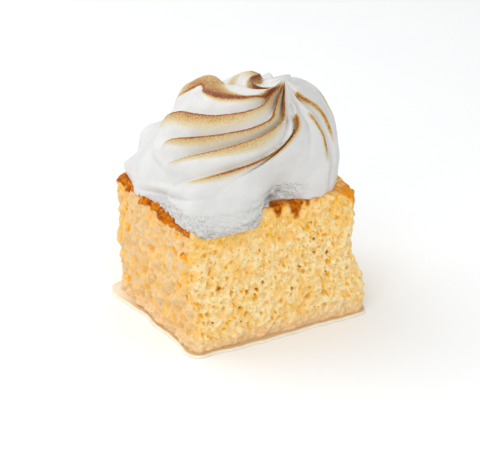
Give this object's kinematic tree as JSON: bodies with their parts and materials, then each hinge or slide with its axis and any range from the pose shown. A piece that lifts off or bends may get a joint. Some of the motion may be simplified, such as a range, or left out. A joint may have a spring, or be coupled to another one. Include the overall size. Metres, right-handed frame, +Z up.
{
  "type": "tres leches cake piece",
  "caption": "Square-cut piece of milk-soaked sponge cake with a torched, piped meringue swirl on top and a shallow pool of milk at its foot.",
  "frame": {"origin": "centre of the bounding box in plan, at the underside of the milk that the piece stands in", "axes": "+Z up, the long cut face looks along -Y, the narrow cut face along -X"},
  "size_m": [0.0712, 0.0626, 0.0828],
  "materials": {
    "sponge": null,
    "meringue": null,
    "milk": null
  },
  "bodies": {
    "root": {"sponge": "sponge", "meringue": "meringue", "milk": "milk"}
  },
  "joints": []
}
